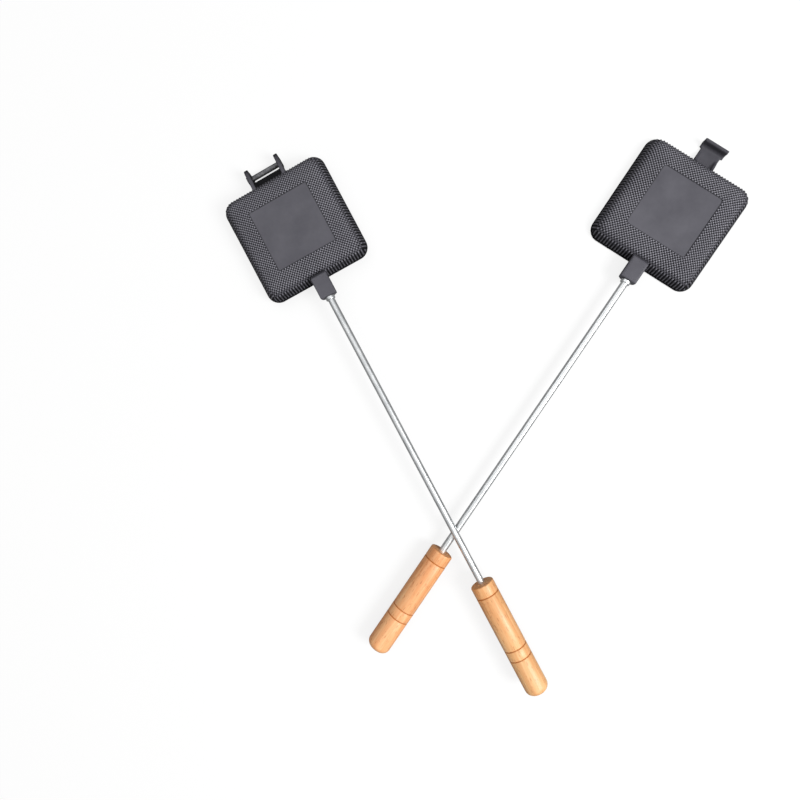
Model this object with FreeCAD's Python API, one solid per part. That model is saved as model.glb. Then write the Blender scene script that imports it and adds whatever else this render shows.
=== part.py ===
import FreeCAD, Part
import math
import os

# A cast-iron pie iron: two square halves on long steel rods with turned wooden handles.
# The halves lie unhooked and crossed, outside faces up. The hook half lies flat on its rim.
# The pin half rests on its two hinge ears, with its rod lying across the other rod.
# Each half is drawn in its own frame: +X from handle to hinge, +Y to its left, +Z outwards,
# with the origin in the middle of its rim plane. Lengths are millimetres, angles degrees.

# Cooking plate
plate_half_side = 59.0
plate_corner_radius = 13.0
plate_depth = 18.0
rim_height = 3.0
rim_ledge = 1.5
wall_thickness = 4.5
rim_land_width = 7.0
# Shares of the plate: the dome goes in from the rim ledge to the flat panel in four steps
dome_side_shares = ((1.0, 0.0), (0.945, 0.52), (0.86, 0.82), (0.74, 0.94), (0.61, 1.0))
cavity_side_shares = ((1.0, 0.0), (0.93, 0.62), (0.80, 0.90), (0.55, 1.0))
panel_half_side = 33.5
panel_corner_radius = 3.0
panel_line_width = 1.0
panel_line_depth = 0.6

# Rod, its socket on the plate and its stop collar
rod_radius = 3.6
rod_axis_height = 14.5
running_clearance = 0.05
socket_overhang = 21.0
socket_width = 17.6
socket_top_height = 20.7
socket_root_share = 0.80
socket_back_inset = 2.0
socket_foot_sink = 7.5
socket_foot_height = 8.0
socket_edge_radius = 1.0
bore_depth = 21.0
bore_end_gap = 0.5
collar_radius = 5.0
collar_length = 3.6
collar_gap = 0.2

# Handle, and the length of bare rod between it and the socket
bare_rod_length = 332.0
handle_length = 125.0
handle_radius = 12.4
handle_front_radius = 1.5
handle_butt_radius = 7.0
groove_half_width = 0.75
groove_depth = 0.6
groove_place_shares = (0.10, 0.58, 0.67)
rod_grip_length = 92.0
handle_pin_radius = 1.25
handle_pin_place = 26.0
handle_pin_sink = 0.6

# Hinge: ears and pin on one half, hook on the other
hinge_overhang = 14.0
hinge_pin_drop = 6.0
hinge_pin_radius = 2.8
ear_gap = 31.0
ear_thickness = 4.2
ear_boss_radius = 5.0
ear_tip_radius = 7.0
ear_tip_height = 2.2
ear_top_height = 11.0
ear_root_sink = 4.0
ear_foot_gap = 3.4
web_root_height = 9.0
web_end_height = 1.5
web_pin_gap = 7.5
pin_head_radius = 4.2
pin_head_height = 2.0
pin_head_play = 0.1

# Hook tongue
tongue_width = 22.0
tongue_underside = 0.3
tongue_rib_width = 2.6
tongue_rib_height = 8.5
tongue_rib_end_height = 4.2
tongue_rib_end_gap = 3.0
hook_width = 26.0
hook_lip_thickness = 3.4
hook_lip_height = 12.0
hook_lip_round = 1.4
hook_seat_play = 0.4

# How the two halves lie: which way each points, and how far ahead of its handle the rods cross
hook_half_heading_angle = 56.5
pin_half_heading_angle = 118.0
crossing_to_hook_handle = 24.5
crossing_to_pin_handle = 57.0
rod_rest_gap = 0.3

# How far a cut runs past the face that it leaves
overrun = 2.0

# Main distances from the plate's middle
hinge_reach = plate_half_side + hinge_overhang
socket_reach = plate_half_side + socket_overhang
handle_start = socket_reach + bare_rod_length

up = FreeCAD.Vector(0, 0, 1)
along = FreeCAD.Vector(1, 0, 0)
across = FreeCAD.Vector(0, 1, 0)


def point(x, y, z):
    return FreeCAD.Vector(x, y, z)


def rounded_square(half_side, radius, height):
    """A closed square wire with round corners, level at the given height."""
    flat = half_side - radius
    lean = radius * math.sqrt(0.5)
    edges = []
    for quarter in range(4):
        turn = FreeCAD.Rotation(up, 90.0 * quarter)
        start = turn.multVec(point(half_side, -flat, height))
        end = turn.multVec(point(half_side, flat, height))
        middle = turn.multVec(point(flat + lean, flat + lean, height))
        corner_end = turn.multVec(point(flat, half_side, height))
        edges.append(Part.LineSegment(start, end).toShape())
        edges.append(Part.Arc(end, middle, corner_end).toShape())
    return Part.Wire(edges)


def stepped_dome(half_side, radius, base, depth, side_shares):
    """A dome of ruled bands: each step is a share of the half side and a share of the depth."""
    wires = []
    for side_share, height_share in side_shares:
        wires.append(rounded_square(half_side * side_share, radius * side_share, base + depth * height_share))
    return Part.makeLoft(wires, True, True)


def rod_bar(radius, near, far, height):
    """A round bar along X between two distances from the plate's middle."""
    return Part.makeCylinder(radius, far - near, point(-far, 0, height), along)


def across_bar(radius, left, right, x, height):
    """A round bar along Y between two places."""
    return Part.makeCylinder(radius, left - right, point(x, right, height), across)


def side_prism(corners, right, left):
    """A flat shape in the XZ plane given a width along Y."""
    outline = [point(x, right, z) for x, z in corners]
    face = Part.Face(Part.makePolygon(outline + outline[:1]))
    return face.extrude(point(0, left - right, 0))


# Plate: a rim band, a stepped dome with a flat panel, and the cooking hollow under it
dome_half_side = plate_half_side - rim_ledge
dome_corner_radius = plate_corner_radius - rim_ledge
cavity_half_side = plate_half_side - rim_land_width
cavity_corner_radius = plate_corner_radius - rim_land_width / 2
cavity_depth = plate_depth - wall_thickness


def plate_blank():
    rim = Part.Face(rounded_square(plate_half_side, plate_corner_radius, 0)).extrude(up * rim_height)
    dome = stepped_dome(dome_half_side, dome_corner_radius, rim_height, plate_depth - rim_height, dome_side_shares)
    return rim.fuse(dome)


def panel_line():
    """The fine line pressed in round the flat panel."""
    floor = plate_depth - panel_line_depth
    outer = Part.Face(rounded_square(panel_half_side, panel_corner_radius, floor))
    inner_side = panel_half_side - panel_line_width
    inner = Part.Face(rounded_square(inner_side, panel_corner_radius - panel_line_width, floor))
    return outer.cut(inner).extrude(up * (panel_line_depth + overrun))


def cavity():
    hollow = stepped_dome(cavity_half_side, cavity_corner_radius, 0, cavity_depth, cavity_side_shares)
    mouth = Part.Face(rounded_square(cavity_half_side, cavity_corner_radius, -overrun)).extrude(up * overrun)
    return hollow.fuse(mouth)


# Socket: flat on top and round underneath, cast on to the handle side of the plate.
# Its flat top ends just inside the plate's edge and slopes down from there into the dome.
socket_root = plate_half_side * socket_root_share
socket_back = plate_half_side - socket_back_inset
socket_foot = plate_half_side - socket_foot_sink
socket_side = socket_width / 2


def socket():
    round_part = rod_bar(socket_side, socket_root, socket_reach, rod_axis_height)
    upper_half = side_prism(((-socket_reach, rod_axis_height), (-socket_root, rod_axis_height),
                             (-socket_root, rod_axis_height + socket_width),
                             (-socket_reach, rod_axis_height + socket_width)),
                            -socket_width, socket_width)
    block = side_prism(((-socket_reach, rod_axis_height), (-socket_root, rod_axis_height),
                        (-socket_root, socket_top_height), (-socket_reach, socket_top_height)),
                       -socket_side, socket_side)
    over_root = side_prism(((-socket_back, socket_top_height + overrun), (-socket_back, socket_top_height),
                            (-socket_foot, socket_foot_height), (-socket_root + overrun, socket_foot_height),
                            (-socket_root + overrun, socket_top_height + overrun)),
                           -socket_width, socket_width)
    body = round_part.cut(upper_half).fuse(block).removeSplitter().cut(over_root)
    top_edges = []
    for edge in body.Edges:
        box_of_edge = edge.BoundBox
        if box_of_edge.ZMin > socket_top_height - socket_edge_radius:
            top_edges.append(edge)
    return body.makeFillet(socket_edge_radius, top_edges)


def socket_bore():
    bore_radius = rod_radius + running_clearance
    return rod_bar(bore_radius, socket_reach - bore_depth, socket_reach + overrun, rod_axis_height)


def casting():
    """What both castings share: plate, hollow, panel line and rod socket."""
    body = plate_blank().fuse(socket())
    return body.cut(cavity()).cut(panel_line())


# Ears: two lugs that straddle the other half's hook and reach past the rim plane to the pin,
# with a sloping web between them at their roots
ear_inner = ear_gap / 2
ear_outer = ear_inner + ear_thickness
ear_root = plate_half_side - ear_root_sink
ear_foot = plate_half_side + ear_foot_gap
ear_shoulder = hinge_reach - ear_boss_radius
ear_middle = ear_inner + ear_thickness / 2
web_end = hinge_reach - web_pin_gap


def ear(right, left):
    plate_side = ((ear_root, rim_height), (ear_root, ear_top_height),
                  (hinge_reach, ear_tip_height + ear_tip_radius), (hinge_reach, -hinge_pin_drop),
                  (ear_shoulder, -hinge_pin_drop), (ear_foot, 0), (plate_half_side, rim_height / 2))
    tip_side = ((hinge_reach, ear_tip_height), (hinge_reach + ear_tip_radius, ear_tip_height),
                (hinge_reach + ear_boss_radius, -hinge_pin_drop), (hinge_reach, -hinge_pin_drop))
    body = side_prism(plate_side, right, left).fuse(side_prism(tip_side, right, left))
    body = body.fuse(across_bar(ear_tip_radius, left, right, hinge_reach, ear_tip_height))
    return body.fuse(across_bar(ear_boss_radius, left, right, hinge_reach, -hinge_pin_drop))


def ear_web():
    return side_prism(((ear_root, rim_height), (ear_root, web_root_height), (web_end, web_end_height),
                       (web_end, 0), (plate_half_side, 0)), -ear_middle, ear_middle)


def pin_plate():
    body = casting().fuse(ear(ear_inner, ear_outer)).fuse(ear(-ear_outer, -ear_inner)).fuse(ear_web())
    hole_radius = hinge_pin_radius + running_clearance
    hole = across_bar(hole_radius, ear_outer + overrun, -ear_outer - overrun, hinge_reach, -hinge_pin_drop)
    return body.cut(hole).cut(cavity()).cut(socket_bore())


# Hook: a ribbed tongue that ends in an upright lip with a round seat for the pin
hook_seat_radius = hinge_pin_radius + hook_seat_play
hook_seat = hinge_reach + hook_seat_radius
hook_tip = hook_seat + hook_lip_thickness
tongue_top = hinge_pin_drop - hook_seat_radius
tongue_root = plate_half_side - ear_root_sink
tongue_rib_end = hinge_reach - hinge_pin_radius - tongue_rib_end_gap


def hook():
    tongue = side_prism(((tongue_root, tongue_underside), (hinge_reach, tongue_underside),
                         (hinge_reach, tongue_top), (tongue_root, tongue_top)),
                        -tongue_width / 2, tongue_width / 2)
    lip = side_prism(((hinge_reach, tongue_underside), (hook_tip, tongue_underside),
                      (hook_tip, hook_lip_height), (hook_seat, hook_lip_height),
                      (hook_seat, hinge_pin_drop), (hinge_reach, hinge_pin_drop)),
                     -hook_width / 2, hook_width / 2)
    seat = across_bar(hook_seat_radius, hook_width / 2 + overrun, -hook_width / 2 - overrun,
                      hinge_reach, hinge_pin_drop)
    lip = lip.cut(seat)
    soft_edges = []
    for edge in lip.Edges:
        box_of_edge = edge.BoundBox
        along_hook = box_of_edge.YLength > hook_width / 2
        on_top = box_of_edge.ZMin > hook_lip_height - hook_lip_round
        at_heel = box_of_edge.XMin > hook_tip - hook_lip_round and box_of_edge.ZMax < hinge_pin_drop
        if along_hook and (on_top or at_heel):
            soft_edges.append(edge)
    lip = lip.makeFillet(hook_lip_round, soft_edges)
    body = tongue.fuse(lip)
    for side in (-1, 1):
        outer = side * tongue_width / 2
        inner = side * (tongue_width / 2 - tongue_rib_width)
        rib = side_prism(((tongue_root, tongue_underside), (tongue_rib_end, tongue_underside),
                          (tongue_rib_end, tongue_rib_end_height), (tongue_root, tongue_rib_height)),
                         min(outer, inner), max(outer, inner))
        body = body.fuse(rib)
    return body


def hook_plate():
    return casting().fuse(hook()).cut(cavity()).cut(socket_bore())


# Rod, collar, handle and the cross pin that keeps the handle on the rod
handle_end = handle_start + handle_length
rod_start = socket_reach - bore_depth + bore_end_gap
rod_end = handle_start + rod_grip_length
handle_pin_distance = handle_start + handle_pin_place
handle_pin_length = (handle_radius - handle_pin_sink) * 2


def handle_pin_bar(radius, reach):
    return Part.makeCylinder(radius, reach, point(-handle_pin_distance, 0, rod_axis_height - reach / 2), up)


def rod():
    bar = rod_bar(rod_radius, rod_start, rod_end, rod_axis_height)
    return bar.cut(handle_pin_bar(handle_pin_radius + running_clearance, rod_radius * 2 + overrun))


def rod_collar():
    near = socket_reach + collar_gap
    ring = rod_bar(collar_radius, near, near + collar_length, rod_axis_height)
    return ring.cut(rod_bar(rod_radius, near - overrun, near + collar_length + overrun, rod_axis_height))


def handle():
    """A turned handle: a round bar with a soft front edge, three grooves and a domed butt."""
    bar = rod_bar(handle_radius, handle_start, handle_end, rod_axis_height)
    front = [edge for edge in bar.Edges if edge.BoundBox.XMin > -handle_start - handle_front_radius]
    bar = bar.makeFillet(handle_front_radius, front)
    butt = [edge for edge in bar.Edges if edge.BoundBox.XMax < -handle_end + handle_front_radius]
    bar = bar.makeFillet(handle_butt_radius, butt)
    for share in groove_place_shares:
        middle = handle_start + handle_length * share
        ring = rod_bar(handle_radius + overrun, middle - groove_half_width, middle + groove_half_width,
                       rod_axis_height)
        core = rod_bar(handle_radius - groove_depth, middle - groove_half_width - overrun,
                       middle + groove_half_width + overrun, rod_axis_height)
        bar = bar.cut(ring.cut(core))
    bar = bar.cut(rod_bar(rod_radius, handle_start - overrun, rod_end, rod_axis_height))
    return bar.cut(handle_pin_bar(handle_pin_radius + running_clearance,
                                  handle_pin_length + running_clearance * 2))


def handle_pin():
    return handle_pin_bar(handle_pin_radius, handle_pin_length)


# Hinge pin with a formed head on its left and its right end flush with the ear
pin_left = ear_outer + pin_head_play


def hinge_pin():
    shank = across_bar(hinge_pin_radius, pin_left, -ear_outer, hinge_reach, -hinge_pin_drop)
    head = across_bar(pin_head_radius, pin_left + pin_head_height, pin_left, hinge_reach, -hinge_pin_drop)
    return shank.fuse(head)


# How each half lies. The hook half is flat on its rim. The pin half stands on its ears, and its
# rod lies on the other rod, so it leans by the small angle between those two supports.
crossing_on_hook_half = handle_start - crossing_to_hook_handle
crossing_on_pin_half = handle_start - crossing_to_pin_handle
ear_rest_depth = hinge_pin_drop + ear_boss_radius
rod_spacing_at_crossing = rod_radius * 2 + rod_rest_gap
lean = math.degrees(math.asin((ear_rest_depth - rod_spacing_at_crossing) / (hinge_reach + crossing_on_pin_half)))


def place_on_crossing(shape, heading, distance, lift, nose_up):
    """Stand a half at its heading, with its rod through the crossing point."""
    placed = shape.copy()
    placed.translate(point(0, 0, -rod_axis_height))
    placed.translate(point(distance, 0, 0))
    placed.rotate(point(0, 0, 0), across, -nose_up)
    placed.translate(point(0, 0, rod_axis_height + lift))
    placed.rotate(point(0, 0, 0), up, heading)
    return placed


hook_half = {
    "hook_plate": hook_plate(),
    "hook_rod": rod(),
    "hook_rod_collar": rod_collar(),
    "hook_handle": handle(),
    "hook_handle_pin": handle_pin(),
}
pin_half = {
    "pin_plate": pin_plate(),
    "pin_rod": rod(),
    "pin_rod_collar": rod_collar(),
    "pin_handle": handle(),
    "pin_handle_pin": handle_pin(),
    "hinge_pin": hinge_pin(),
}

placed_parts = {}
for name, shape in hook_half.items():
    placed_parts[name] = place_on_crossing(shape, hook_half_heading_angle, crossing_on_hook_half, 0, 0)
for name, shape in pin_half.items():
    placed_parts[name] = place_on_crossing(shape, pin_half_heading_angle, crossing_on_pin_half,
                                           rod_spacing_at_crossing, lean)

# The origin is the middle of the whole object's box, at floor level
whole_box = FreeCAD.BoundBox()
for shape in placed_parts.values():
    whole_box.add(shape.optimalBoundingBox())
to_origin = point(-whole_box.Center.x, -whole_box.Center.y, -whole_box.ZMin)

os.makedirs("parts", exist_ok=True)
for name, shape in placed_parts.items():
    shape.translate(to_origin)
    shape.exportStep("parts/" + name + ".step")
    print(name, len(shape.Solids), "solid, valid", shape.isValid(), "volume", round(shape.Volume, 1))
print("crossing point", round(to_origin.x, 3), round(to_origin.y, 3), "floor", round(to_origin.z, 3))
print("lean of the pin half", round(lean, 5))
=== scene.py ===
import math

import bmesh
import bpy
import numpy as np
from mathutils import Matrix, Vector


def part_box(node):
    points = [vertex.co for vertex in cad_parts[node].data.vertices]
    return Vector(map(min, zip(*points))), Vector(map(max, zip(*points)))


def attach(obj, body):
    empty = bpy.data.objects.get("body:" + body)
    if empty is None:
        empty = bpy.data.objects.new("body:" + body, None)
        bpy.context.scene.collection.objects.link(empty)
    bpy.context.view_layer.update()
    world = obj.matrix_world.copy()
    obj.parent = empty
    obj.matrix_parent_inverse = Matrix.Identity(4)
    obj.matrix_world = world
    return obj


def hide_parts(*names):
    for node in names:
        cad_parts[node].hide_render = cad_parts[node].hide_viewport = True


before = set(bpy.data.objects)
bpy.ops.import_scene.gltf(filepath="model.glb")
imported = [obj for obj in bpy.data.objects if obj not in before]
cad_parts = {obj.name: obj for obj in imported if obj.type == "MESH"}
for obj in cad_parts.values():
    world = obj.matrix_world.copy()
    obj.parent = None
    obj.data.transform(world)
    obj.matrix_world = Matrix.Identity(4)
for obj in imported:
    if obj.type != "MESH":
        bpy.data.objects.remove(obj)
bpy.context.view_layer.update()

# How each half lies
# A half is a casting, a rod and a handle in one straight line. Its own frame has +X from the
# handle to the hinge, +Y to its left and +Z out of the plate, with the origin in the middle
# of the rim plane, so every piece below is drawn once and then laid down with its half.
MM = 0.001
collar_to_plate = 82.0 * MM
rod_axis_height = 14.5 * MM


def middle(node):
    low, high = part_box(node)
    return (low + high) / 2


def half_frame(collar, handle_pin):
    forward = (middle(collar) - middle(handle_pin)).normalized()
    left = Vector((0, 0, 1)).cross(forward).normalized()
    out = forward.cross(left)
    turn = Matrix((forward, left, out)).transposed().to_4x4()
    origin = middle(collar) + forward * collar_to_plate - out * rod_axis_height
    return Matrix.Translation(origin) @ turn


halves = {
    "hook": half_frame("hook_rod_collar", "hook_handle_pin"),
    "pin": half_frame("pin_rod_collar", "pin_handle_pin"),
}


# Castings
# Each half of the mould is one piece of cast iron, sand cast, ground on its rim and seasoned
# black with oil: a square dish with a rod socket on one side and ears or a hook on the other.
# The sand leaves every edge a little soft, and oil makes the skin satin.
cast_skin_step = 0.8 * MM
cast_soften_steps = 3
cast_soften_share = 0.5
cast_weld = 0.005 * MM
# Painted shade on the casting: black on the web between the ears, a little darker on the hook, and darker
# towards the bottom between the two heights below
painted_shade_from = 58.2 * MM
painted_shade_to = {"hook": 95.0 * MM, "pin": 67.0 * MM}
painted_shade_half_width = 15.2 * MM
painted_shade_depth = {"hook": -0.16, "pin": -1.0}
painted_shade_below = 4.0 * MM
painted_shade_above = 11.0 * MM
iron_patch_width = 28 * MM
iron_grain_width = 0.9 * MM
iron_grain_height = 0.12 * MM
# How far the shade painted into corners reaches
iron_corner_shade_reach = 2 * MM


def linear(hex_colour):
    """An sRGB hex colour as the linear colour that shaders use."""
    channels = [int(hex_colour[i:i + 2], 16) / 255 for i in (1, 3, 5)]
    return [c / 12.92 if c <= 0.04045 else ((c + 0.055) / 1.055) ** 2.4 for c in channels] + [1.0]


def add_node(owner, kind, links=(), stops=(), **settings):
    """Adds a node to a material, world or node group. Settings are attributes or input names,
    links are (input, node, output), and stops are the (place, hex colour) pairs of a ramp."""
    tree = getattr(owner, "node_tree", owner)
    node = tree.nodes.new(kind)
    for key, value in settings.items():
        if hasattr(node, key) and key not in node.inputs:
            setattr(node, key, value)
        else:
            node.inputs[key.replace("_", " ")].default_value = value
    for socket, source, output in links:
        tree.links.new(source.outputs[output], node.inputs[socket])
    for _ in range(len(stops) - 2):
        node.color_ramp.elements.new(0.5)
    for number, (place, colour) in enumerate(stops):
        node.color_ramp.elements[number].position = place
        node.color_ramp.elements[number].color = linear(colour)
    return node


def new_material(name):
    material = bpy.data.materials.new(name)
    material.use_nodes = True
    return material, material.node_tree.nodes["Principled BSDF"]


# Seasoned cast iron: dark grey, satin, with broad patches where the oil baked on
# thicker. The sand's grain is about 0.3 mm and is drawn 0.9 mm across so that it shows. Shade
# is painted black in corners and in the pits of the knurl, and a highlight is painted on the
# tops of its bumps. Relief runs from 1 on a bump's top to -1 in a pit, and painted shade lowers it.
iron, iron_shader = new_material("seasoned_cast_iron")
iron_place = add_node(iron, "ShaderNodeTexCoord")
iron_patches = add_node(iron, "ShaderNodeTexNoise", [("Vector", iron_place, "Object")],
                        Scale=1 / iron_patch_width, Detail=4.0, Roughness=0.6)
iron_grain = add_node(iron, "ShaderNodeTexNoise", [("Vector", iron_place, "Object")],
                      Scale=1 / iron_grain_width, Detail=3.0, Roughness=0.55)
iron_colour = add_node(iron, "ShaderNodeValToRGB", [("Fac", iron_patches, "Fac")],
                       stops=((0.30, "#4b4a51"), (0.55, "#535259"), (0.75, "#59585f")))
# The relief also carries painted shade, which darkens the iron where it is low
iron_relief = add_node(iron, "ShaderNodeAttribute", attribute_name="relief_and_shade")
# Painted highlight on the bumps' tops, and painted shade in the pits and wherever painted shade lowers the
# relief
iron_crest_highlight = add_node(iron, "ShaderNodeMapRange", [("Value", iron_relief, "Fac")],
                      From_Min=0.25, From_Max=1.0, To_Min=0.0, To_Max=0.8)
iron_pit_shade = add_node(iron, "ShaderNodeMapRange", [("Value", iron_relief, "Fac")],
                    From_Min=0.0, From_Max=-0.55, To_Min=0.0, To_Max=0.95)
# Painted shade: corners found by ambient occlusion are darkened towards black
iron_corner = add_node(iron, "ShaderNodeAmbientOcclusion", samples=8, Distance=iron_corner_shade_reach)
iron_corner_shade = add_node(iron, "ShaderNodeMapRange", [("Value", iron_corner, "AO")],
                     From_Min=0.2, From_Max=0.75, To_Min=0.8, To_Max=0.0)
iron_highlighted = add_node(iron, "ShaderNodeMix", [("Factor", iron_crest_highlight, "Result"), (6, iron_colour, "Color")],
                       data_type="RGBA")
iron_highlighted.inputs[7].default_value = linear("#b0afb9")
iron_pit_shaded = add_node(iron, "ShaderNodeMix", [("Factor", iron_pit_shade, "Result"), (6, iron_highlighted, 2)],
                      data_type="RGBA")
iron_pit_shaded.inputs[7].default_value = linear("#0d0d0f")
iron_corner_shaded = add_node(iron, "ShaderNodeMix", [("Factor", iron_corner_shade, "Result"), (6, iron_pit_shaded, 2)],
                       data_type="RGBA")
iron_corner_shaded.inputs[7].default_value = linear("#0e0e10")
iron_gloss = add_node(iron, "ShaderNodeMapRange", [("Value", iron_patches, "Fac")],
                      From_Min=0.3, From_Max=0.7, To_Min=0.42, To_Max=0.56)
# Specular follows the relief: low in the pits and where shade is painted, high on the bumps' tops
iron_shine = add_node(iron, "ShaderNodeMapRange", [("Value", iron_relief, "Fac")],
                      From_Min=-0.4, From_Max=0.4, To_Min=0.08, To_Max=0.5)
iron_bump = add_node(iron, "ShaderNodeBump", [("Height", iron_grain, "Fac")],
                     Strength=0.35, Distance=iron_grain_height)
iron.node_tree.links.new(iron_corner_shaded.outputs[2], iron_shader.inputs["Base Color"])
iron.node_tree.links.new(iron_gloss.outputs["Result"], iron_shader.inputs["Roughness"])
iron.node_tree.links.new(iron_shine.outputs["Result"], iron_shader.inputs["Specular IOR Level"])
iron.node_tree.links.new(iron_bump.outputs["Normal"], iron_shader.inputs["Normal"])


def cast_skin(name, node, body):
    """The casting with its edges softened as sand leaves them, in place of the drawn solid."""
    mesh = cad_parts[node].data.copy()
    shape = bmesh.new()
    shape.from_mesh(mesh)
    bmesh.ops.remove_doubles(shape, verts=shape.verts, dist=cast_weld)
    shape.to_mesh(mesh)
    shape.free()
    piece = bpy.data.objects.new(name, mesh)
    bpy.context.scene.collection.objects.link(piece)
    remesh = piece.modifiers.new("skin", "REMESH")
    remesh.mode = "VOXEL"
    remesh.voxel_size = cast_skin_step
    soften = piece.modifiers.new("soften", "SMOOTH")
    soften.iterations = cast_soften_steps
    soften.factor = cast_soften_share
    made = bpy.data.meshes.new_from_object(piece.evaluated_get(bpy.context.evaluated_depsgraph_get()))
    piece.modifiers.clear()
    piece.data = made
    # Painted shade: the iron is darker towards the bottom, black on the web between the ears and a little
    # darker on the hook
    half = node.split("_")[0]
    to_half = halves[half].inverted()
    shade_marks = made.attributes.new("relief_and_shade", "FLOAT", "POINT").data
    for vert, mark in zip(made.vertices, shade_marks):
        place = to_half @ vert.co
        low = (painted_shade_above - place.z) / (painted_shade_above - painted_shade_below)
        in_front = painted_shade_from < place.x < painted_shade_to[half] and abs(place.y) < painted_shade_half_width
        mark.value = painted_shade_depth[half] if in_front else -min(max(low, 0.0), 1.0)
    made.materials.clear()
    made.materials.append(iron)
    made.shade_smooth()
    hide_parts(node)
    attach(piece, body)


cast_skin("hook_casting_iron", "hook_plate", "hook_casting")
cast_skin("pin_casting_iron", "pin_plate", "pin_half")

# Knurled domes
# The outside of each dish is cast with a fine waffle knurl, bumps and pits 3.2 mm apart in
# rows along the edges, which runs down the sides as ridges. Shade is painted black in the pits.
dome_half_side = 57.5 * MM
dome_corner_radius = 11.5 * MM
dome_base = 3.0 * MM
dome_depth = 15.0 * MM
dome_shares = ((1.0, 0.0), (0.985, 0.20), (0.945, 0.52), (0.86, 0.82), (0.74, 0.94), (0.62, 0.992))
panel_half_side = 33.5 * MM
panel_corner_radius = {"hook": 3.0 * MM, "pin": 1.3 * MM}
knurl_pitch = 3.2 * MM
knurl_height = 0.6 * MM
knurl_lift = 0.65 * MM
knurl_ridge_share = 0.85
knurl_ridge_slope = 0.6
knurl_ridge_slope_span = 1.5
# Painted shade: how much the ridges on the steep sides are darkened
knurl_flank_shade = -0.7
knurl_fade_rings = 3
knurl_step = 0.47 * MM
curve_steps = 40
shell_sink = 0.6 * MM
shell_rings_apart = 6
side_steps = 196
corner_steps = 38


def smooth_path(points, step):
    """Points at even steps along a smooth curve through a few points."""
    ends = [2 * points[0] - points[1], *points, 2 * points[-1] - points[-2]]
    fine = []
    for a, b, c, d in zip(ends, ends[1:], ends[2:], ends[3:]):
        for t in np.linspace(0, 1, curve_steps, endpoint=False):
            fine.append(0.5 * (2 * b + (c - a) * t + (2 * a - 5 * b + 4 * c - d) * t * t
                               + (3 * b - a - 3 * c + d) * t ** 3))
    fine = np.array(fine + [ends[-2]])
    length = np.r_[0, np.cumsum(np.linalg.norm(np.diff(fine, axis=0), axis=1))]
    places = np.linspace(0, length[-1], int(length[-1] / step) + 1)
    return np.stack([np.interp(places, length, fine[:, k]) for k in range(2)], 1)


def corner_loop(half_side, radius):
    """A rounded square with the same number of points on each side and on each corner."""
    flat = half_side - radius
    quarter = [(half_side, flat * (2 * i / side_steps - 1)) for i in range(side_steps)]
    for i in range(corner_steps):
        angle = math.pi / 2 * i / corner_steps
        quarter.append((flat + radius * math.cos(angle), flat + radius * math.sin(angle)))
    quarter = np.array(quarter)
    return np.concatenate([quarter @ np.array(Matrix.Rotation(-math.pi / 2 * k, 2)) for k in range(4)])


# The knurl pushes a surface out in crossed rows of bumps, which run together into ridges
# where the side is steep, and keeps their relief for the iron. Shade is painted darker on the ridges of the
# steep sides.
knurl = bpy.data.node_groups.new("knurl", "GeometryNodeTree")
for label, kind in (("Geometry", "Geometry"), ("Pitch", "Float"), ("Height", "Float"), ("Lift", "Float"),
                    ("Flank Shade", "Float"), ("Iron", "Material")):
    knurl.interface.new_socket(label, in_out="INPUT", socket_type="NodeSocket" + kind)
knurl.interface.new_socket("Geometry", in_out="OUTPUT", socket_type="NodeSocketGeometry")
knurl_sizes = add_node(knurl, "NodeGroupInput")
knurl_row = add_node(knurl, "GeometryNodeInputNamedAttribute", data_type="FLOAT", Name="row")
knurl_column = add_node(knurl, "GeometryNodeInputNamedAttribute", data_type="FLOAT", Name="column")
knurl_ridge = add_node(knurl, "GeometryNodeInputNamedAttribute", data_type="FLOAT", Name="ridge")
knurl_strength = add_node(knurl, "GeometryNodeInputNamedAttribute", data_type="FLOAT", Name="strength")
knurl_turns = add_node(knurl, "ShaderNodeMath", [(1, knurl_sizes, "Pitch")], operation="DIVIDE")
knurl_turns.inputs[0].default_value = 2 * math.pi
row_turns = add_node(knurl, "ShaderNodeMath", [(0, knurl_row, "Attribute"), (1, knurl_turns, 0)],
                     operation="MULTIPLY")
row_wave = add_node(knurl, "ShaderNodeMath", [(0, row_turns, 0)], operation="SINE")
column_turns = add_node(knurl, "ShaderNodeMath", [(0, knurl_column, "Attribute"), (1, knurl_turns, 0)],
                        operation="MULTIPLY")
column_wave = add_node(knurl, "ShaderNodeMath", [(0, column_turns, 0)], operation="SINE")
column_held = add_node(knurl, "ShaderNodeMix", [("Factor", knurl_ridge, "Attribute"), ("A", column_wave, 0)],
                       data_type="FLOAT", B=1.0)
knurl_wave = add_node(knurl, "ShaderNodeMath", [(0, row_wave, 0), (1, column_held, 0)], operation="MULTIPLY")
knurl_bump = add_node(knurl, "ShaderNodeMath", [(0, knurl_wave, 0), (1, knurl_strength, "Attribute")],
                      operation="MULTIPLY")
knurl_reach = add_node(knurl, "ShaderNodeMath",
                       [(0, knurl_bump, 0), (1, knurl_sizes, "Height"), (2, knurl_sizes, "Lift")],
                       operation="MULTIPLY_ADD")
knurl_relief = add_node(knurl, "ShaderNodeMath",
                        [(0, knurl_ridge, "Attribute"), (1, knurl_sizes, "Flank Shade"), (2, knurl_bump, 0)],
                        operation="MULTIPLY_ADD")
knurl_kept = add_node(knurl, "GeometryNodeStoreNamedAttribute",
                      [("Geometry", knurl_sizes, "Geometry"), ("Value", knurl_relief, 0)], Name="relief_and_shade")
knurl_normal = add_node(knurl, "GeometryNodeInputNormal")
knurl_push = add_node(knurl, "ShaderNodeVectorMath", [(0, knurl_normal, 0), ("Scale", knurl_reach, 0)],
                      operation="SCALE")
knurl_pushed = add_node(knurl, "GeometryNodeSetPosition",
                        [("Geometry", knurl_kept, "Geometry"), ("Offset", knurl_push, 0)])
knurl_real = add_node(knurl, "GeometryNodeRealizeInstances", [(0, knurl_pushed, 0)])
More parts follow.
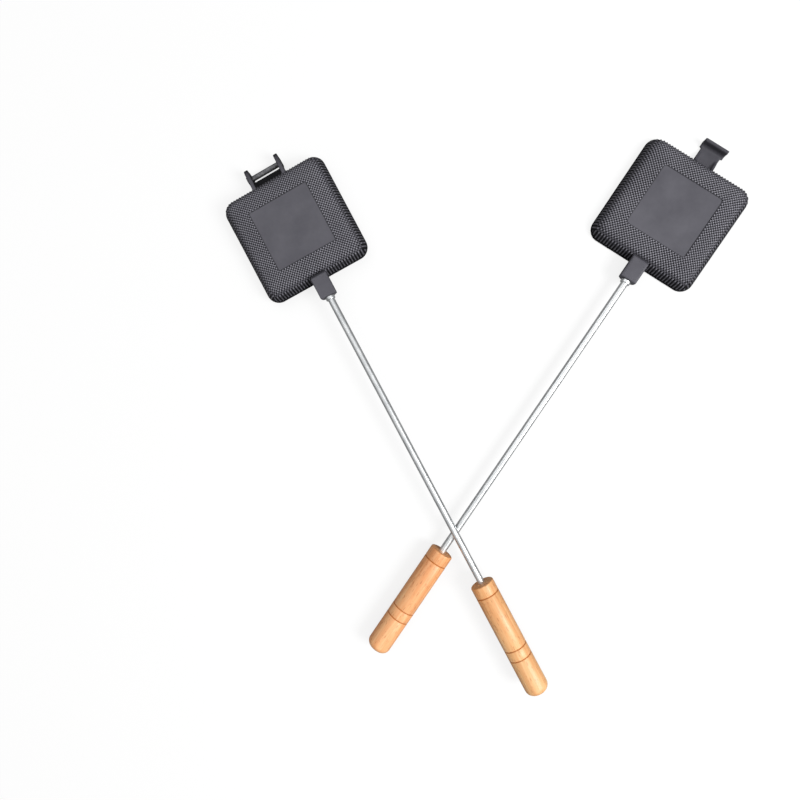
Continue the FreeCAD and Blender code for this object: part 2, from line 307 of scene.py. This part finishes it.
knurl_painted = add_node(knurl, "GeometryNodeSetMaterial",
                         [("Geometry", knurl_real, 0), ("Material", knurl_sizes, "Iron")])
add_node(knurl, "NodeGroupOutput", [(0, knurl_painted, 0)])


def band(first, second, count):
    """Faces between two rings of points, by the numbers of their first points."""
    return [(first + i, first + (i + 1) % count, second + (i + 1) % count, second + i) for i in range(count)]


def knurled_dome(half, body):
    """The bumpy outside of one dish: a thin closed shell from the rim's ledge to the panel."""
    outline = [np.array((dome_half_side * side, dome_base + dome_depth * height))
               for side, height in dome_shares]
    outline.append(np.array((panel_half_side, dome_base + dome_depth)))
    profile = smooth_path(outline, knurl_step)
    along = np.gradient(profile, axis=0)
    along /= np.linalg.norm(along, axis=1)[:, None]
    slope = np.abs(along[:, 1] / along[:, 0])
    ridge = np.clip((slope - knurl_ridge_slope) / knurl_ridge_slope_span, 0, 1) * knurl_ridge_share
    panel_radius = panel_corner_radius[half]

    def ring(half_side, height):
        share = (half_side - panel_half_side) / (dome_half_side - panel_half_side)
        loop = corner_loop(half_side, panel_radius + (dome_corner_radius - panel_radius) * share)
        return np.c_[loop, np.full(len(loop), height)]

    rings = [ring(*stop) for stop in profile]
    count = len(rings[0])
    points = np.concatenate(rings)
    facing_x = np.abs(points[:, 0]) > np.abs(points[:, 1])
    fields = {"row": np.where(facing_x, points[:, 1], points[:, 0]),
              "column": np.where(facing_x, points[:, 0], points[:, 1]),
              "ridge": np.repeat(ridge, count),
              "strength": np.repeat(np.minimum(np.arange(len(rings)) / knurl_fade_rings, 1.0), count)}
    faces = []
    for k in range(len(rings) - 1):
        faces += band(k * count, (k + 1) * count, count)
    mesh = bpy.data.meshes.new(half + "_dome")
    mesh.from_pydata(points.tolist(), [], faces)
    for name, values in fields.items():
        mesh.attributes.new(name, "FLOAT", "POINT").data.foreach_set("value", values)
    piece = bpy.data.objects.new(half + "_knurled_dome", mesh)
    bpy.context.scene.collection.objects.link(piece)
    modifier = piece.modifiers.new("knurl", "NODES")
    modifier.node_group = knurl
    sockets = {s.name: s.identifier for s in knurl.interface.items_tree if s.in_out == "INPUT"}
    modifier[sockets["Pitch"]] = knurl_pitch
    modifier[sockets["Height"]] = knurl_height
    modifier[sockets["Lift"]] = knurl_lift
    modifier[sockets["Flank Shade"]] = knurl_flank_shade
    modifier[sockets["Iron"]] = iron
    made = bpy.data.meshes.new_from_object(piece.evaluated_get(bpy.context.evaluated_depsgraph_get()))
    piece.modifiers.clear()
    # The back of the shell is smooth and lies just inside the casting
    sunk = profile - shell_sink * np.stack((along[:, 1], -along[:, 0]), 1)
    backs = [*range(0, len(rings) - 1, shell_rings_apart), len(rings) - 1]
    shell = bmesh.new()
    shell.from_mesh(made)
    relief_and_shade = shell.verts.layers.float["relief_and_shade"]
    front = list(shell.verts)
    back = []
    for k in backs:
        back += [shell.verts.new(place) for place in ring(*sunk[k])]
    for k in range(len(backs) - 1):
        for quad in band(k * count, (k + 1) * count, count):
            shell.faces.new([back[i] for i in quad[::-1]])
    for first, second in ((0, 0), ((len(rings) - 1) * count, (len(backs) - 1) * count)):
        for i in range(count):
            j = (i + 1) % count
            shell.faces.new((front[first + i], front[first + j], back[second + j], back[second + i]))
    for vert in back:
        vert[relief_and_shade] = -1.0
    bmesh.ops.recalc_face_normals(shell, faces=shell.faces)
    shell.to_mesh(made)
    shell.free()
    for name in fields:
        made.attributes.remove(made.attributes[name])
    made.materials.clear()
    made.materials.append(iron)
    made.transform(halves[half])
    made.shade_smooth()
    piece.data = made
    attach(piece, body)


knurled_dome("hook", "hook_casting")
knurled_dome("pin", "pin_half")

# Panels
# The flat square in the middle of each dome is part of the casting, smooth and about a
# millimetre below the knurl's bumps. A fine dark line where the knurl stops is real shade in a
# narrow gap, with shade painted in the knurl's pits and in the corner beside it.
panel_top = 18.2 * MM
panel_foot = 17.2 * MM
panel_line = 0.45 * MM
panel_round = 0.12 * MM
panel_sharp_angle = math.radians(30)


def new_piece(name, mesh, half):
    """A mesh drawn in a half's own frame, laid down with that half."""
    mesh.transform(halves[half])
    mesh.update()
    mesh.shade_smooth()
    piece = bpy.data.objects.new(name, mesh)
    bpy.context.scene.collection.objects.link(piece)
    return piece


def panel(half, body):
    """The bare square in the middle of one dome, with its edge broken."""
    radius = panel_corner_radius[half]
    side = panel_half_side - panel_line
    shape = bmesh.new()
    for inset, height in ((0, panel_foot), (0, panel_top - panel_round), (panel_round, panel_top)):
        for x, y in corner_loop(side - inset, radius - inset):
            shape.verts.new((x, y, height))
    shape.verts.ensure_lookup_table()
    count = len(shape.verts) // 3
    for first in (0, count):
        for quad in band(first, first + count, count):
            shape.faces.new([shape.verts[i] for i in quad])
    shape.faces.new([shape.verts[i] for i in range(count)][::-1])
    shape.faces.new([shape.verts[i] for i in range(2 * count, 3 * count)])
    bmesh.ops.recalc_face_normals(shape, faces=shape.faces)
    mesh = bpy.data.meshes.new(half + "_panel")
    shape.to_mesh(mesh)
    shape.free()
    piece = new_piece(half + "_panel_iron", mesh, half)
    mesh.set_sharp_from_angle(angle=panel_sharp_angle)
    mesh.materials.append(iron)
    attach(piece, body)


panel("hook", "hook_casting")
panel("pin", "pin_half")

# Rods
# Each rod is drawn mild steel, zinc plated and polished bright. It goes into the casting's
# socket up to a pressed-on collar, and its far end is driven into the handle.
rod_radius = 3.6 * MM
rod_far = 504.0 * MM
rod_near = 59.5 * MM
rod_end_round = 0.5 * MM
rod_steps = 90
turned_sides = 72
turned_sharp_angle = math.radians(40)
zinc_cloud_width = 14 * MM

# Zinc plated steel: a pale bluish metal, polished but soft in its reflections, with faint
# clouds from the plating bath
zinc, zinc_shader = new_material("zinc_plated_steel")
zinc_place = add_node(zinc, "ShaderNodeTexCoord")
zinc_cloud = add_node(zinc, "ShaderNodeTexNoise", [("Vector", zinc_place, "Object")],
                      Scale=1 / zinc_cloud_width, Detail=3.0)
zinc_colour = add_node(zinc, "ShaderNodeValToRGB", [("Fac", zinc_cloud, "Fac")],
                       stops=((0.35, "#dbdee0"), (0.65, "#eceeef")))
zinc_gloss = add_node(zinc, "ShaderNodeMapRange", [("Value", zinc_cloud, "Fac")],
                      From_Min=0.3, From_Max=0.7, To_Min=0.34, To_Max=0.42)
zinc.node_tree.links.new(zinc_colour.outputs["Color"], zinc_shader.inputs["Base Color"])
zinc.node_tree.links.new(zinc_gloss.outputs["Result"], zinc_shader.inputs["Roughness"])
zinc_shader.inputs["Metallic"].default_value = 1.0


def turned(name, half, profile, material, slot, body, *nodes):
    """A turned piece: (distance behind the plate, radius) points spun round the rod's axis."""
    shape = bmesh.new()
    rings = []
    for distance, radius in profile:
        rings.append([
            shape.verts.new((-distance, radius * math.cos(a), rod_axis_height + radius * math.sin(a)))
            for a in (2 * math.pi * i / turned_sides for i in range(turned_sides))])
    for near, far in zip(rings, rings[1:]):
        for i in range(turned_sides):
            j = (i + 1) % turned_sides
            shape.faces.new((near[i], near[j], far[j], far[i]))
    shape.faces.new(rings[0])
    shape.faces.new(rings[-1])
    bmesh.ops.recalc_face_normals(shape, faces=shape.faces)
    mesh = bpy.data.meshes.new(name)
    shape.to_mesh(mesh)
    shape.free()
    piece = new_piece(name, mesh, half)
    mesh.set_sharp_from_angle(angle=turned_sharp_angle)
    mesh.materials.append(material)
    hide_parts(*nodes)
    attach(piece, body)


# Short steps along the rod, because faces that are long and very thin don't shade cleanly
rod_profile = [(rod_near, rod_radius - rod_end_round)]
for distance in np.linspace(rod_near + rod_end_round, rod_far - rod_end_round, rod_steps):
    rod_profile.append((distance, rod_radius))
rod_profile.append((rod_far, rod_radius - rod_end_round))
turned("hook_rod_steel", "hook", rod_profile, zinc, "rod_steel", "root", "hook_rod")
turned("pin_rod_steel", "pin", rod_profile, zinc, "rod_steel", "pin_half", "pin_rod")

# Collars
# A short steel ring pressed on each rod where it enters the socket, plated with the rod.
# It stops the rod and shows as a bright band against the dark iron.
collar_near = 80.2 * MM
collar_length = 3.6 * MM
collar_radius = 5.0 * MM
collar_round = 0.7 * MM
collar_far = collar_near + collar_length
collar_profile = [(collar_near, rod_radius), (collar_near, collar_radius - collar_round / 2),
                  (collar_near + collar_round / 2, collar_radius),
                  (collar_far - collar_round, collar_radius),
                  (collar_far - collar_round / 3, collar_radius - collar_round / 3),
                  (collar_far, collar_radius - collar_round), (collar_far, rod_radius)]
turned("hook_collar_steel", "hook", collar_profile, zinc, "rod_steel", "root", "hook_rod_collar")
turned("pin_collar_steel", "pin", collar_profile, zinc, "rod_steel", "pin_half", "pin_rod_collar")

# Handles
# Turned beech, sanded and varnished to a light honey colour, with three fine grooves burnt
# brown on the lathe. The rod is driven into a bore and held by a thin cross pin.
handle_start = 412.0 * MM
handle_length = 125.0 * MM
handle_radius = 12.4 * MM
handle_front_round = 1.5 * MM
handle_butt_round = 7.0 * MM
groove_shares = (0.10, 0.58, 0.67)
groove_half_width = 0.75 * MM
groove_depth = 0.6 * MM
groove_burn_shares = (0.3, 1.3)
front_steps = 6
groove_steps = 4
butt_steps = 12
beech_grain_width = 2.5 * MM
beech_tone_width = 6 * MM
beech_fleck_width = 1.4 * MM
beech_fleck_height = 0.05 * MM
beech_end_depth = 0.9 * MM
beech_end_fade = 0.2 * MM


def handle_profile():
    """Front face, soft front edge, barrel with three round-bottomed grooves, and domed butt."""
    end = handle_start + handle_length
    points = [(handle_start, rod_radius), (handle_start, handle_radius - handle_front_round)]
    for i in range(1, front_steps + 1):
        a = math.pi / 2 * i / front_steps
        points.append((handle_start + handle_front_round * (1 - math.cos(a)),
                       handle_radius - handle_front_round * (1 - math.sin(a))))
    for share in groove_shares:
        centre = handle_start + handle_length * share
        for i in range(-groove_steps, groove_steps + 1):
            dip = groove_depth * (1 + math.cos(math.pi * i / groove_steps)) / 2
            points.append((centre + groove_half_width * i / groove_steps, handle_radius - dip))
    for i in range(butt_steps + 1):
        a = math.pi / 2 * i / butt_steps
        points.append((end - handle_butt_round * (1 - math.sin(a)),
                       handle_radius - handle_butt_round * (1 - math.cos(a))))
    return points


# Varnished beech: pale orange wood with long darker grain lines about 2.5 mm apart and short
# fine flecks along the handle, under a thin coat. Real flecks are a third of a millimetre
# wide, and these are drawn 1.4 mm wide and 6 mm long so that they show.
def varnished_beech(half, warm):
    wood, shader = new_material("varnished_beech_" + half)
    place = add_node(wood, "ShaderNodeTexCoord")
    laid = add_node(wood, "ShaderNodeMapping", [("Vector", place, "Object")], vector_type="TEXTURE",
                    Location=halves[half].translation, Rotation=halves[half].to_euler())
    long = add_node(wood, "ShaderNodeMapping", [("Vector", laid, "Vector")], Scale=(0.05, 1.0, 1.0))
    short = add_node(wood, "ShaderNodeMapping", [("Vector", laid, "Vector")], Scale=(0.22, 1.0, 1.0))
    grain = add_node(wood, "ShaderNodeTexNoise", [("Vector", long, "Vector")],
                     Scale=1 / beech_grain_width, Detail=4.0, Roughness=0.6, Distortion=0.4)
    tone = add_node(wood, "ShaderNodeTexNoise", [("Vector", long, "Vector")],
                    Scale=1 / beech_tone_width, Detail=3.0)
    flecks = add_node(wood, "ShaderNodeTexNoise", [("Vector", short, "Vector")],
                      Scale=1 / beech_fleck_width, Detail=2.0)
    base = add_node(wood, "ShaderNodeValToRGB", [("Fac", grain, "Fac")],
                    stops=((0.28, warm[0]), (0.5, warm[1]), (0.72, warm[2])))
    shade = add_node(wood, "ShaderNodeValToRGB", [("Fac", tone, "Fac")],
                     stops=((0.32, "#e6c6ac"), (0.62, "#ffffff")))
    fleck = add_node(wood, "ShaderNodeValToRGB", [("Fac", flecks, "Fac")],
                     stops=((0.60, "#ffffff"), (0.68, "#b98c62")))
    toned = add_node(wood, "ShaderNodeMix", [(6, base, "Color"), (7, shade, "Color")],
                     data_type="RGBA", blend_type="MULTIPLY", Factor=0.7)
    colour = add_node(wood, "ShaderNodeMix", [(6, toned, 2), (7, fleck, "Color")],
                      data_type="RGBA", blend_type="MULTIPLY", Factor=0.5)
    # Burnt grooves, by distance along the handle
    along = add_node(wood, "ShaderNodeSeparateXYZ", [("Vector", laid, "Vector")])
    for share in groove_shares:
        offset = add_node(wood, "ShaderNodeMath", [(0, along, "X")], operation="ADD")
        offset.inputs[1].default_value = handle_start + handle_length * share
        away = add_node(wood, "ShaderNodeMath", [(0, offset, 0)], operation="ABSOLUTE")
        burn = add_node(wood, "ShaderNodeMapRange", [("Value", away, 0)], To_Min=0.9, To_Max=0.0,
                        From_Min=groove_half_width * groove_burn_shares[0],
                        From_Max=groove_half_width * groove_burn_shares[1])
        colour = add_node(wood, "ShaderNodeMix", [("Factor", burn, "Result"), (6, colour, 2)],
                          data_type="RGBA")
        colour.inputs[7].default_value = linear("#b4631a")
    # The front face is end grain, which drinks more varnish and is browner
    end_grain = add_node(wood, "ShaderNodeMapRange", [("Value", along, "X")], To_Min=0.0, To_Max=0.35,
                         From_Min=-handle_start - beech_end_depth, From_Max=-handle_start - beech_end_fade)
    colour = add_node(wood, "ShaderNodeMix", [("Factor", end_grain, "Result"), (6, colour, 2)],
                      data_type="RGBA")
    colour.inputs[7].default_value = linear("#c07a38")
    bump = add_node(wood, "ShaderNodeBump", [("Height", flecks, "Fac")],
                    Strength=0.12, Distance=beech_fleck_height)
    wood.node_tree.links.new(colour.outputs[2], shader.inputs["Base Color"])
    wood.node_tree.links.new(bump.outputs["Normal"], shader.inputs["Normal"])
    shader.inputs["Roughness"].default_value = 0.5
    shader.inputs["Coat Weight"].default_value = 0.25
    shader.inputs["Coat Roughness"].default_value = 0.3
    return wood


hook_wood = varnished_beech("hook", ("#e9a56c", "#f2b37c", "#f8c490"))
pin_wood = varnished_beech("pin", ("#e2a76e", "#ebb57c", "#f2c48f"))
turned("hook_handle_wood", "hook", handle_profile(), hook_wood, "handle_wood", "root", "hook_handle")
turned("pin_handle_wood", "pin", handle_profile(), pin_wood, "handle_wood", "pin_half", "pin_handle")

# Hinge pin and handle pins
# Plain steel rod, blackened with the casting: the hinge pin has a formed head on its left and
# is flush with the ear on its right. The thin cross pins are hidden inside the handles.
steel_cloud_width = 3 * MM

# Blackened steel: dark grey under a thin film of oil, with small clouds and a soft sheen
steel, steel_shader = new_material("blackened_steel")
steel_place = add_node(steel, "ShaderNodeTexCoord")
steel_cloud = add_node(steel, "ShaderNodeTexNoise", [("Vector", steel_place, "Object")],
                       Scale=1 / steel_cloud_width, Detail=3.0)
steel_colour = add_node(steel, "ShaderNodeValToRGB", [("Fac", steel_cloud, "Fac")],
                        stops=((0.35, "#5c5c5f"), (0.65, "#78787a")))
steel.node_tree.links.new(steel_colour.outputs["Color"], steel_shader.inputs["Base Color"])
steel_shader.inputs["Metallic"].default_value = 0.6
steel_shader.inputs["Roughness"].default_value = 0.42
for node in ("hinge_pin", "hook_handle_pin", "pin_handle_pin"):
    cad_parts[node].data.materials.clear()
    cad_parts[node].data.materials.append(steel)

# Floor and light
# A plain floor that the camera sees white, with the object's faint shadow, under a soft
# overhead light that fades towards the walls, as in a small product studio. The floor sends
# back less light than a white one would, so the undersides stay dark.
floor_size = 6.0
floor_gap = 0.2 * MM
bpy.ops.mesh.primitive_plane_add(size=floor_size, location=(0, 0, -floor_gap))
floor = bpy.context.object
floor.name = "floor"
floor_paint, floor_shader = new_material("white_floor")
floor_paint.node_tree.nodes.remove(floor_shader)
floor_rays = add_node(floor_paint, "ShaderNodeLightPath")
floor_colour = add_node(floor_paint, "ShaderNodeMix", [("Factor", floor_rays, "Is Camera Ray")],
                        data_type="RGBA")
floor_colour.inputs[6].default_value = linear("#8c8c8c")
floor_colour.inputs[7].default_value = linear("#f4f4f4")
floor_matt = add_node(floor_paint, "ShaderNodeBsdfDiffuse", [("Color", floor_colour, 2)])
floor_white = add_node(floor_paint, "ShaderNodeEmission", Color=linear("#ffffff"), Strength=1.0)
floor_share = add_node(floor_paint, "ShaderNodeMath", [(0, floor_rays, "Is Camera Ray")],
                       operation="MULTIPLY")
floor_share.inputs[1].default_value = 0.8
floor_mix = add_node(floor_paint, "ShaderNodeMixShader", [("Fac", floor_share, 0)])
floor_links = floor_paint.node_tree.links
floor_links.new(floor_matt.outputs[0], floor_mix.inputs[1])
floor_links.new(floor_white.outputs[0], floor_mix.inputs[2])
floor_links.new(floor_mix.outputs[0], floor_paint.node_tree.nodes["Material Output"].inputs["Surface"])
floor.data.materials.append(floor_paint)

world_overhead = 0.80
world_wall = 0.03
world = bpy.data.worlds.new("studio")
world.use_nodes = True
bpy.context.scene.world = world
back = world.node_tree.nodes["Background"]
back.inputs["Color"].default_value = linear("#ffffff")
world_rays = add_node(world, "ShaderNodeLightPath")
world_way = add_node(world, "ShaderNodeTexCoord")
world_height = add_node(world, "ShaderNodeSeparateXYZ", [("Vector", world_way, "Generated")])
world_level = add_node(world, "ShaderNodeMapRange", [("Value", world_height, "Z")],
                       From_Min=0.05, From_Max=0.9, To_Min=world_wall, To_Max=world_overhead)
world_seen = add_node(world, "ShaderNodeMath", [(0, world_level, "Result"), (1, world_rays, "Is Camera Ray")],
                      operation="MAXIMUM")
world.node_tree.links.new(world_seen.outputs[0], back.inputs["Strength"])


def soft_light(name, place, size, power):
    """A square lamp that faces the middle of the object."""
    data = bpy.data.lights.new(name, "AREA")
    data.size = size
    data.energy = power
    lamp = bpy.data.objects.new(name, data)
    lamp.location = place
    lamp.rotation_euler = (Vector((0, 0, 0)) - Vector(place)).to_track_quat("-Z", "Y").to_euler()
    bpy.context.scene.collection.objects.link(lamp)


soft_light("key_light", place=(1.2, -0.4, 1.4), size=0.8, power=30)
soft_light("fill_light", place=(-0.9, 0.9, 1.6), size=1.2, power=5)

# Camera
# It stands over the plates and looks almost straight down, a little to the left.
# Places are measured from the point where the two rods cross.
camera_from_crossing = Vector((-6.4, 154.2, 636.3)) * MM
camera_back = Vector((0.0818, 0.0287, 0.9962)).normalized()
camera_lens_share = 602 / 800


def rods_crossing():
    (ax, ay), (bx, by) = halves["pin"].translation.xy, halves["hook"].translation.xy
    (ux, uy), (vx, vy) = halves["pin"].col[0].xy, halves["hook"].col[0].xy
    reach = ((bx - ax) * vy - (by - ay) * vx) / (ux * vy - uy * vx)
    return Vector((ax + ux * reach, ay + uy * reach, 0))


camera_data = bpy.data.cameras.new("camera")
camera_data.lens = camera_lens_share * camera_data.sensor_width
camera = bpy.data.objects.new("camera", camera_data)
right = Vector((0, 1, 0)).cross(camera_back).normalized()
turn = Matrix((right, camera_back.cross(right), camera_back)).transposed().to_4x4()
camera.matrix_world = Matrix.Translation(rods_crossing() + camera_from_crossing) @ turn
bpy.context.scene.collection.objects.link(camera)
bpy.context.scene.camera = camera
bpy.context.scene.view_settings.view_transform = "Standard"
